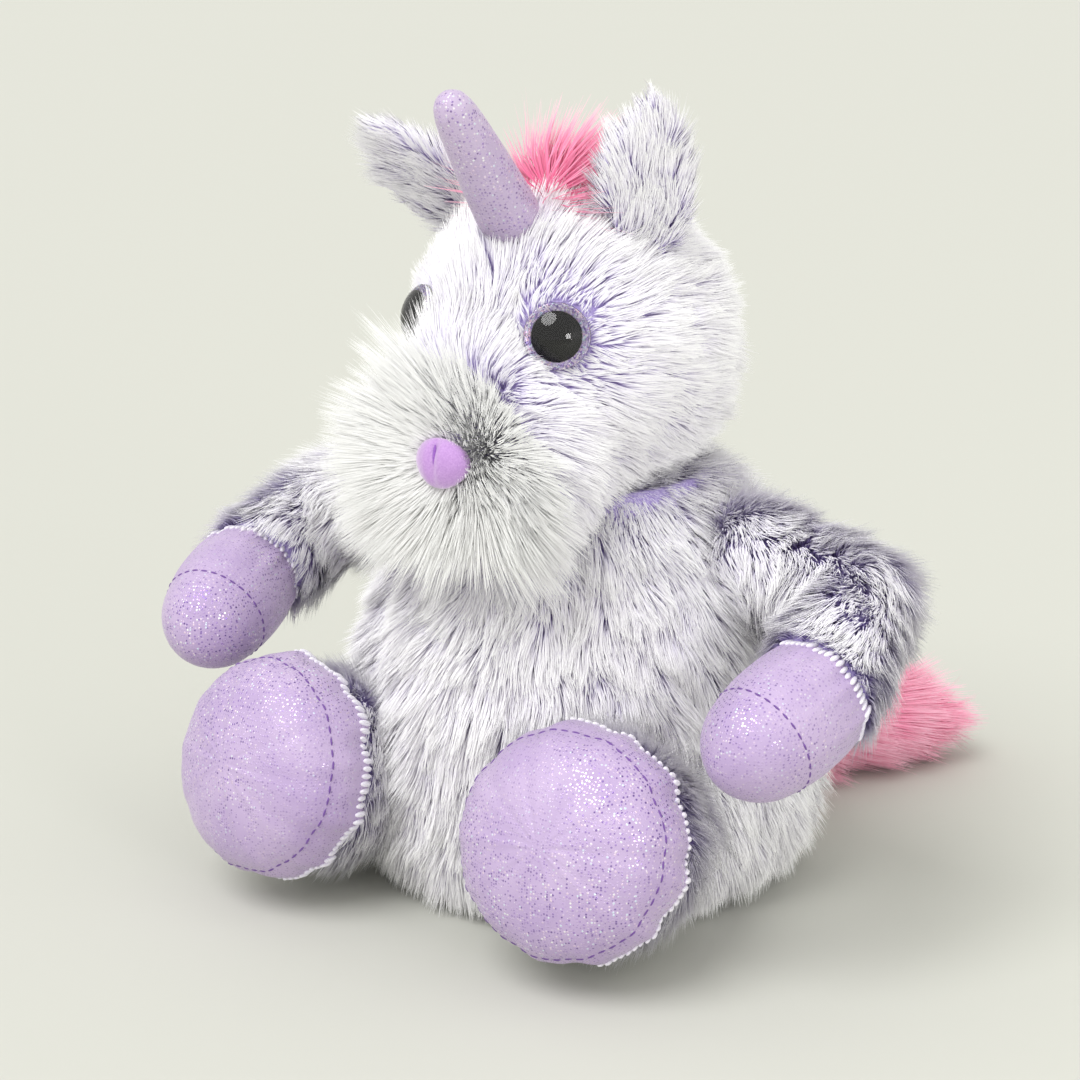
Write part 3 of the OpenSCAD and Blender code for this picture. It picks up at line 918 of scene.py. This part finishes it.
# eyes: dome, glitter ring, pupil with its post, washer
for side, s in SIDES:
    at = point_to(eye_axis(s), EYE[s])
    bm = bmesh.new()
    r = 15.0
    arc = [(12.0 * MM, 0.0)] + [
        (r * math.sin(a) * MM, (r * math.cos(a) - 9) * MM)
        for a in np.linspace(math.asin(11.95 / 15), 0.02, 14)
    ] + [(0, 6 * MM)]
    turned(bm, [(0, 0)] + arc, at)
    lens = to_mesh(f"eye_dome_{side}", bm, clear_dome)
    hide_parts(f"eye_lens_{side}")
    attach(lens, "head")
    bm = bmesh.new()
    turned(
        bm,
        [
            (8.4 * MM, -0.75 * MM), (8.4 * MM, 0.1 * MM), (9.0 * MM, 0.12 * MM), (11.6 * MM, 0.12 * MM),
            (11.9 * MM, -0.1 * MM), (11.9 * MM, -0.75 * MM), (8.4 * MM, -0.75 * MM),
        ],
        at,
    )
    ring = to_mesh(f"eye_glitter_{side}", bm, eye_glitter)
    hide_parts(f"eye_ring_{side}")
    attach(ring, "head")
    bm = bmesh.new()
    turned(
        bm,
        [
            (0, 0.15 * MM), (8.2 * MM, 0.15 * MM), (8.38 * MM, -0.1 * MM), (8.35 * MM, -0.8 * MM),
            (11.6 * MM, -0.8 * MM), (12 * MM, -1.1 * MM), (12 * MM, -1.8 * MM), (11.6 * MM, -2 * MM),
            (2.5 * MM, -2 * MM), (2.5 * MM, -8.6 * MM), (2.1 * MM, -9 * MM), (0, -9 * MM),
        ],
        at,
    )
    post = to_mesh(f"eye_pupil_{side}", bm, black_plastic)
    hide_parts(f"eye_post_{side}")
    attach(post, "head")
    bm = bmesh.new()
    turned(
        bm,
        [
            (2.5 * MM, -7 * MM), (6.6 * MM, -7 * MM), (7 * MM, -6.7 * MM), (7 * MM, -5.8 * MM),
            (6.6 * MM, -5.5 * MM), (2.5 * MM, -5.5 * MM), (2.5 * MM, -7 * MM),
        ],
        at,
    )
    washer = to_mesh(f"eye_backing_{side}", bm, white_plastic)
    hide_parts(f"eye_washer_{side}")
    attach(washer, "head")

# ---------------------------------------------------------------- horn
HORN = Vector((0, -0.6184, 0.7859))
root = mm(0, -48, 258)
bm = bmesh.new()
profile = [
    (0, -10), (7, -8), (11, -2), (11.9, 4), (11.2, 16), (10.4, 28), (9.4, 40), (8.6, 49), (7.9, 54),
    (6.6, 59), (4.2, 62), (1.8, 63), (0, 63.2),
]
turned(bm, [(r * MM, z * MM) for r, z in profile], point_to(HORN, root))
horn = to_mesh("horn_sleeve", bm, horn_foil)
stuffed(horn, 0.0022, 0.0009, 2.0)
horn.modifiers.new("smooth", "SUBSURF").levels = 1
horn.modifiers["smooth"].render_levels = 1
baked(horn)
horn.data.polygons.foreach_set("use_smooth", [True] * len(horn.data.polygons))
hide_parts("horn_cover", "horn_stuffing")
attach(horn, "horn")


# ---------------------------------------------------------------- ears
EAR_A, EAR_B = mm(25, -38, 260), mm(52, -8, 243)
ear_dir = (EAR_B - EAR_A).normalized()
for side, s, fold, tilt in (("left", 1, 0.0, -16.0), ("right", -1, math.radians(24), 14.0)):
    az = math.atan2(ear_dir.y, ear_dir.x) + (0.0 if s > 0 else math.radians(-42))
    slope = math.asin(ear_dir.z)
    stand = Matrix.Translation(
        (EAR_A + EAR_B) / 2
    ) @ Matrix.Rotation(az, 4, "Z") @ Matrix.Rotation(-slope, 4, "Y") @ Matrix.Rotation(fold, 4, "X")
    flip = Matrix.Diagonal((s, 1, 1, 1))
    bm = bmesh.new()
    bmesh.ops.create_uvsphere(bm, u_segments=40, v_segments=30, radius=1.0)
    for v in bm.verts:
        x, y, z = v.co
        u = (z + 1) / 2
        half = 17.5 * (
            math.sin(math.pi * min(1, 0.16 + 0.84 * u)) ** 0.62
        ) * (1.0 if u < 0.5 else 1 - 0.35 * (u - 0.5))
        ring = math.sqrt(max(1e-6, 1 - z * z))
        cx, cy = x / ring, y / ring
        height = -5 + 56 * u
        lean = math.tan(math.radians(tilt)) * height
        cup = 2.0 * (1 - (cx) ** 2) * math.sin(math.pi * u)
        v.co = flip @ stand @ mm(
            cx * half + lean, cy * 2.6 * (0.35 + 0.65 * math.sin(math.pi * u)) + cup - 1.0, height
        )
    ear = to_mesh(f"ear_cover_{side}", bm, lilac_backing)
    bm = bmesh.new()
    bm.from_mesh(ear.data)
    bmesh.ops.recalc_face_normals(bm, faces=bm.faces)
    bm.to_mesh(ear.data)
    bm.free()
    stuffed(ear, 0.0028, 0.0012, 1.0)
    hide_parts(f"ear_front_{side}", f"ear_back_{side}")
    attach(ear, f"ear_{side}")
    turn = (flip @ stand).to_3x3()
    up_ear = np.array(turn @ Vector((math.tan(math.radians(tilt)), 0, 1)))
    across_ear = np.array(turn @ Vector((1, 0, 0)))
    base = np.array(flip @ stand @ Vector((0, 0, 0)))

    def comb_ear(co, n, up_ear=up_ear, across_ear=across_ear, base=base):
        h = (co - base) @ up_ear
        a = (co - base) @ across_ear
        lay = np.tile(up_ear, (len(co), 1)) + 0.6 * across_ear * (a / 0.018)[:, None]
        pile = 1.0 - 0.25 * soft_step(h, 0.035, 0.058)
        return lay, pile, (h > -0.002).astype(float)

    furred(
        f"ear_fur_{side}", ear, f"ear_{side}", (), lilac_fur, 50 + s, lambda c: np.ones(len(c), bool),
        comb_ear, Length=0.0125, Stand=0.45, Lean=0.7, **{"Hairs per m2": 2.9e6},
    )

# ---------------------------------------------------------------- mane
bm = bmesh.new()
steps = 44
rings = []
for i in range(steps + 1):
    u = i / steps
    a = math.radians(106 - 134 * u)
    c = mm(0, -11.5, 207)
    r = 57.5
    half = 4.5 * min(1, 0.35 + 4 * u, 0.45 + 4 * (1 - u))
    thick = 3.2
    out = Vector((0, math.cos(a), math.sin(a)))
    ring = []
    for k in range(14):
        b = 2 * math.pi * k / 14
        ring.append(
            bm.verts.new(c + out * (r + thick * math.sin(b)) * MM + Vector((half * math.cos(b) * MM, 0, 0)))
        )
    rings.append(ring)
for p, q in zip(rings, rings[1:]):
    for k in range(14):
        bm.faces.new((p[k], p[(k + 1) % 14], q[(k + 1) % 14], q[k]))
for cap in (rings[0], rings[-1]):
    bm.faces.new(cap)
bmesh.ops.recalc_face_normals(bm, faces=bm.faces)
mane = to_mesh("mane_strip", bm, pink_backing)
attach(mane, "head")


def comb_mane(co, n):
    rel = co - HEAD
    around = np.arctan2(rel[:, 2], rel[:, 1])
    back = np.stack([np.zeros(len(co)), np.sin(around), -np.cos(around)], 1)
    lay = back * 0.9 + 0.14 * np.sign(co[:, :1] + 1e-9) * [[1.0, 0, 0]] * np.minimum(
        1, abs(co[:, :1]) / 0.003
    )
    pile = 0.42 + 0.58 * soft_step(around, 1.35, 1.8)
    up = np.linalg.norm(rel[:, 1:], axis=1) > 0.0565
    return lay, pile, up.astype(float)


furred(
    "mane_fur",
    mane,
    "head",
    ("mane",),
    pink_fur,
    61,
    lambda c: np.ones(len(c), bool),
    comb_mane,
    Length=0.037,
    Stand=0.85,
    Lean=0.5,
    Wander=0.34,
    **{
        "Hairs per m2": 5.0e6, "Large lock": 0.012, "Small lock": 0.004, "Small pull": 0.45, "Width": 0.0007
    },
)


# ---------------------------------------------------------------- arms and legs
def along_line(co, a, b):
    a, b = np.array(a), np.array(b)
    return ((co - a) @ (b - a)) / ((b - a) @ (b - a))


def stitch_row(name, body, material, cover, centre, axis, count, long, thick, across=False, nodes=()):
    """A row of stitches round a sewn cover: short rounded threads sunk a little in its surface,
    laid along the row, or across it where the machine has whipped the edge over."""
    tree = BVHTree.FromObject(cover, bpy.context.evaluated_depsgraph_get())
    axis = Vector(axis).normalized()
    frame_at = point_to(axis, centre)
    spots, ways = [], []

    def on_cover(angle, shift):
        way = (frame_at.to_3x3() @ Vector((math.cos(angle), math.sin(angle), 0))).normalized()
        hit = tree.ray_cast(Vector(centre) + axis * shift, way)[0]
        return hit if hit else Vector(centre) + way * 0.03

    for k in range(count):
        a = 2 * math.pi * k / count
        spots.append(on_cover(a, 0))
        ways.append(
            on_cover(a, 0.001) - on_cover(a, -0.001) if across else on_cover(a + 0.03, 0) - on_cover(
                a - 0.03, 0
            )
        )
    me = bpy.data.meshes.new(name)
    me.from_pydata(spots, [], [])
    me.attributes.new("way", "FLOAT_VECTOR", "POINT").data.foreach_set(
        "vector", [c for w in ways for c in w.normalized()]
    )
    t = bpy.data.node_groups.new(name, "GeometryNodeTree")
    t.interface.new_socket("Geometry", in_out="INPUT", socket_type="NodeSocketGeometry")
    for label in ("Stitch length", "Thread radius"):
        t.interface.new_socket(label, in_out="INPUT", socket_type="NodeSocketFloat")
    t.interface.new_socket("Geometry", in_out="OUTPUT", socket_type="NodeSocketGeometry")
    i = add(t, "NodeGroupInput").outputs
    stitch = add(t, "GeometryNodeMeshUVSphere", {"Segments": 8, "Rings": 6}, {"Radius": i["Thread radius"]})
    half = add(t, "ShaderNodeMath", {"operation": "MULTIPLY", 1: 2.0}, {0: i["Thread radius"]})
    stretch = add(t, "ShaderNodeMath", {"operation": "DIVIDE"}, {0: i["Stitch length"], 1: half.outputs[0]})
    size = add(t, "ShaderNodeCombineXYZ", {"X": 1.0, "Y": 1.0}, {2: stretch.outputs[0]})
    way = add(t, "GeometryNodeInputNamedAttribute", {"data_type": "FLOAT_VECTOR", "Name": "way"})
    turn = add(t, "FunctionNodeAlignRotationToVector", {"axis": "Z"}, {"Vector": way.outputs["Attribute"]})
    put = add(
        t,
        "GeometryNodeInstanceOnPoints",
        {},
        {
            "Points": i["Geometry"],
            "Instance": stitch.outputs["Mesh"],
            "Rotation": turn.outputs[0],
            "Scale": size.outputs[0],
        },
    )
    real = add(t, "GeometryNodeRealizeInstances", {}, {0: put.outputs[0]})
    dressed = add(t, "GeometryNodeSetMaterial", {"Material": material}, {"Geometry": real.outputs[0]})
    end = add(t, "NodeGroupOutput")
    t.links.new(dressed.outputs[0], end.inputs[0])
    o = new_object(name, me)
    m = o.modifiers.new("stitches", "NODES")
    m.node_group = t
    for item in t.interface.items_tree:
        if item.name in ("Stitch length", "Thread radius"):
            m[item.identifier] = long if item.name == "Stitch length" else thick
    baked(o)
    o.data.polygons.foreach_set("use_smooth", [True] * len(o.data.polygons))
    if "way" in o.data.attributes:
        o.data.attributes.remove(o.data.attributes["way"])
    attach(o, body)
    if nodes:
        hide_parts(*nodes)
    return o


def pucker(o, root, axis, reach, folds, depth, seed, seam_at):
    """Gathers in the cloth just past its seam: shallow folds that die out along the piece,
    and the groove that the topstitching pulls in, seam_at along it."""
    rng = np.random.default_rng(seed)
    co, n = points(o), normals(o)
    axis = np.array(Vector(axis).normalized())
    rel = co - np.array(root)
    h = rel @ axis
    side = unit(np.cross(axis, [0.3, 0.2, 1.0]))
    other = np.cross(axis, side)
    angle = np.arctan2(rel @ other, rel @ side)
    wave = np.zeros(len(co))
    for k, weight in ((folds, 1.0), (folds * 2 - 3, 0.6), (folds // 2 + 1, 0.7)):
        wave += weight * np.sin(k * angle + rng.uniform(0, 6.28) + 18 * h / 0.05 * rng.uniform(-0.4, 0.4))
    fade = np.exp(-np.maximum(h, 0) / reach)
    groove = 0.0009 * np.exp(-(((h - seam_at) / 0.0013) ** 2)) * (
        np.linalg.norm(rel - h[:, None] * axis, axis=1) > 0.012
    )
    co = co + n * (wave * fade * depth - groove)[:, None]
    o.data.vertices.foreach_set("co", co.ravel())
    o.data.update()


for side, s in SIDES:
    # arm: bent at the elbow, its glitter end pointing forward and down
    shoulder, elbow, wrist = mm(s * 70, 5, 130), mm(s * 121, -3, 124), mm(s * 132, -36, 112)
    grip, tip = mm(s * 132, -51, 99), mm(s * 126, -80, 88)
    seam = (wrist + grip) / 2
    way = (tip - grip).normalized()
    bm = bmesh.new()
    rod(bm, shoulder, elbow, 20 * MM, 18 * MM)
    rod(bm, elbow, seam + way * 4 * MM, 18 * MM, 19 * MM)
    arm = to_mesh(f"arm_cover_{side}", bm, lilac_backing)
    stuffed(arm, 0.004, 0.002, 3.0)
    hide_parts(f"arm_outer_{side}", f"arm_inner_{side}", f"arm_stuffing_{side}")
    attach(arm, f"arm_{side}")

    def comb_arm(co, n, s=s, shoulder=shoulder, elbow=elbow, seam=seam, way=way):
        t = soft_step(along_line(co, elbow, seam), -0.4, 0.6)[:, None]
        lay = unit(
            elbow - shoulder
        ) * (1 - t) + np.array(way) * t + 0.30 * DOWN + 0.25 * np.array([[0, -1.0, 0]])
        past = (co - np.array(seam)) @ np.array(way)
        inside = near(co, (0, 0, 0.06), 0.078) > 0
        cover = ((past < -0.0025) & ~inside & (abs(co[:, 0]) > 0.058)).astype(float)
        pile = 1 - 0.25 * soft_step(past, -0.018, -0.002)
        return lay, pile, cover

    furred(
        f"arm_fur_{side}", arm, f"arm_{side}", (), lilac_fur, 70 + s, lambda c: np.ones(len(c), bool),
        comb_arm, Length=0.0150,
    )

    bm = bmesh.new()
    back = seam - way * 3 * MM
    front = tip + way * 1 * MM
    turned(
        bm,
        [
            (0, 0), (15 * MM, 0), (20.5 * MM, 4 * MM), (22.4 * MM, 14 * MM), (23 * MM, 26 * MM),
            (22.2 * MM, 38 * MM), (18.5 * MM, 49 * MM), (12 * MM, 56 * MM), (5 * MM, 59.5 * MM),
            (0, 60.3 * MM),
        ],
        point_to(way, back),
    )
    hand = to_mesh(f"hand_cover_{side}", bm, hoof_foil)
    stuffed(hand, 0, 0.0018, 3.0)
    pucker(hand, back, way, 0.013, 11, 0.0008, 5 + s, 0.037)
    finer(hand)
    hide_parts(f"hand_front_{side}", f"hand_band_{side}")
    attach(hand, f"arm_{side}")
    stitch_row(
        f"hand_topstitch_{side}", f"arm_{side}", thread, hand, back + way * 37 * MM, way, 32, 2.9 * MM,
        0.42 * MM, nodes=(f"hand_stitches_{side}",),
    )
    stitch_row(
        f"hand_edge_{side}", f"arm_{side}", caught_pile, hand, back + way * 5 * MM, way, 50, 6.8 * MM,
        1.05 * MM, across=True,
    )

    # leg: stretched forward on the floor
    hip, sole = mm(s * 63, -67, 41), mm(s * 67, -97, 50)
    out = (sole - hip).normalized()
    bm = bmesh.new()
    rod(bm, hip - out * 8 * MM, sole - out * 8 * MM, 27 * MM, 35 * MM)
    leg = to_mesh(f"leg_cover_{side}", bm, lilac_backing)
    stuffed(leg, 0.0045, 0.002, 3.0)
    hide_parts(f"leg_outer_{side}", f"leg_inner_{side}", f"leg_stuffing_{side}")
    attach(leg, f"leg_{side}")

    def comb_leg(co, n, s=s, hip=hip, sole=sole, out=out):
        past = (co - np.array(sole)) @ np.array(out)
        lay = np.tile(np.array(out) * 0.7, (len(co), 1)) + 0.6 * DOWN
        inside = np.linalg.norm(co[:, :2], axis=1) < 0.074
        cover = ((past < -0.005) & ~inside).astype(float)
        return lay, 1 - 0.35 * soft_step(past, -0.022, -0.005), cover

    furred(
        f"leg_fur_{side}", leg, f"leg_{side}", (), lilac_fur, 80 + s, lambda c: np.ones(len(c), bool),
        comb_leg, Length=0.0150,
    )

    bm = bmesh.new()
    turned(
        bm,
        [
            (0, -4 * MM), (30 * MM, -4 * MM), (39.5 * MM, -2 * MM), (42.2 * MM, 4 * MM),
            (42.6 * MM, 11 * MM), (41 * MM, 18 * MM), (37 * MM, 25 * MM), (30 * MM, 30.5 * MM),
            (20 * MM, 34.5 * MM), (9 * MM, 36.6 * MM), (0, 37.2 * MM),
        ],
        point_to(out, sole),
    )
    hoof = to_mesh(f"hoof_cover_{side}", bm, hoof_foil)
    stuffed(hoof, 0, 0.0018, 3.0)
    pucker(hoof, sole, out, 0.015, 13, 0.0011, 15 + s, 0.019)
    finer(hoof)
    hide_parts(f"hoof_front_{side}", f"hoof_band_{side}")
    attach(hoof, f"leg_{side}")
    stitch_row(
        f"hoof_topstitch_{side}", f"leg_{side}", thread, hoof, sole + out * 19 * MM, out, 56, 3.1 * MM,
        0.45 * MM, nodes=(f"hoof_stitches_{side}",),
    )
    stitch_row(
        f"hoof_edge_{side}", f"leg_{side}", caught_pile, hoof, sole + out * 2.6 * MM, out, 92, 7.6 * MM,
        1.15 * MM, across=True,
    )

# ---------------------------------------------------------------- tail
T0, T1, T2 = mm(0, 88, 24), mm(30, 130, 22), mm(50, 160, 20)
bm = bmesh.new()
rod(bm, T0, T1, 8 * MM, 10 * MM)
rod(bm, T1, T2, 10 * MM, 8 * MM)
tail = to_mesh("tail_core", bm, pink_backing)
stuffed(tail, 0.003, 0.001, 2.0)
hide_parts("tail_upper", "tail_under")
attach(tail, "tail")


def comb_tail(co, n):
    lay = np.tile(unit(np.array(T2 - T0)) * 1.0, (len(co), 1)) + 0.1 * DOWN
    return lay, np.full(len(co), 1.0), (co[:, 1] > 0.082).astype(float)


furred(
    "tail_fur",
    tail,
    "tail",
    (),
    pink_fur,
    91,
    lambda c: np.ones(len(c), bool),
    comb_tail,
    Length=0.036,
    Stand=0.42,
    Lean=0.75,
    Wander=0.3,
    **{"Hairs per m2": 3.8e6, "Large lock": 0.012, "Small lock": 0.004, "Width": 0.0007},
)

# ---------------------------------------------------------------- label and inner parts
bm = bmesh.new()
W, H = 0.030, 0.024
n_u, n_v = 16, 12
grid = {}
for layer, off in ((0, 0.0), (1, 0.0006)):
    for a in range(n_u + 1):
        for b in range(n_v + 1):
            u, v = a / n_u, b / n_v
            grid[layer, a, b] = bm.verts.new(
                Vector((-0.0016 + off + 0.0012 * math.sin(3 * v) * u, 0.090 + v * H, 0.058 + u * W))
            )
for layer in (0, 1):
    for a in range(n_u):
        for b in range(n_v):
            f = [grid[layer, a, b], grid[layer, a + 1, b], grid[layer, a + 1, b + 1], grid[layer, a, b + 1]]
            bm.faces.new(f if layer else f[::-1])
for b in range(n_v):
    for a in (0, n_u):
        bm.faces.new((grid[0, a, b], grid[0, a, b + 1], grid[1, a, b + 1], grid[1, a, b]))
for a in range(n_u):
    for b in (0, n_v):
        bm.faces.new((grid[0, a, b], grid[0, a + 1, b], grid[1, a + 1, b], grid[1, a, b]))
bmesh.ops.recalc_face_normals(bm, faces=bm.faces)
label = to_mesh("care_label_blank", bm, satin)
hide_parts("care_label")
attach(label, "torso")

for node_name, material in (("heat_pouch", cotton), ("grain_fill", grain)):
    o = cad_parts[node_name]
    o.data.materials.clear()
    o.data.materials.append(material)

# ---------------------------------------------------------------- studio
FLOOR_HALF = 30.0
bm = bmesh.new()
bmesh.ops.create_grid(bm, x_segments=2, y_segments=2, size=FLOOR_HALF)
paper = to_mesh("studio_floor", bm)
floor_mat, ft, fs = finish_material("studio paper", {"Roughness": 0.9})
fs.inputs["Base Color"].default_value = linear("#C9CAC2")
paper.data.materials.append(floor_mat)

world = bpy.data.worlds.new("studio")
scene.world = world
world.use_nodes = True
world.node_tree.nodes["Background"].inputs["Color"].default_value = linear("#F7F6F2")
world.node_tree.nodes["Background"].inputs["Strength"].default_value = 0.92


def softbox(name, at, target, size, power, colour="#FFFFFF"):
    light = bpy.data.lights.new(name, "AREA")
    light.shape, light.size, light.energy = "SQUARE", size, power
    light.color = linear(colour)[:3]
    o = bpy.data.objects.new(name, light)
    scene.collection.objects.link(o)
    o.location = at
    o.rotation_euler = (Vector(target) - Vector(at)).to_track_quat("-Z", "Y").to_euler()
    return o


softbox("window", (1.15, -0.62, 0.42), (0, 0, 0.2), 0.30, 3.0)
sky = bpy.data.lights.new("ceiling", "SUN")
sky.energy, sky.angle = 1.8, math.radians(38)
lamp = bpy.data.objects.new("ceiling", sky)
scene.collection.objects.link(lamp)
lamp.rotation_euler = Vector((-0.10, -0.62, 0.90)).to_track_quat("Z", "Y").to_euler()
scene.view_settings.view_transform = "Standard"
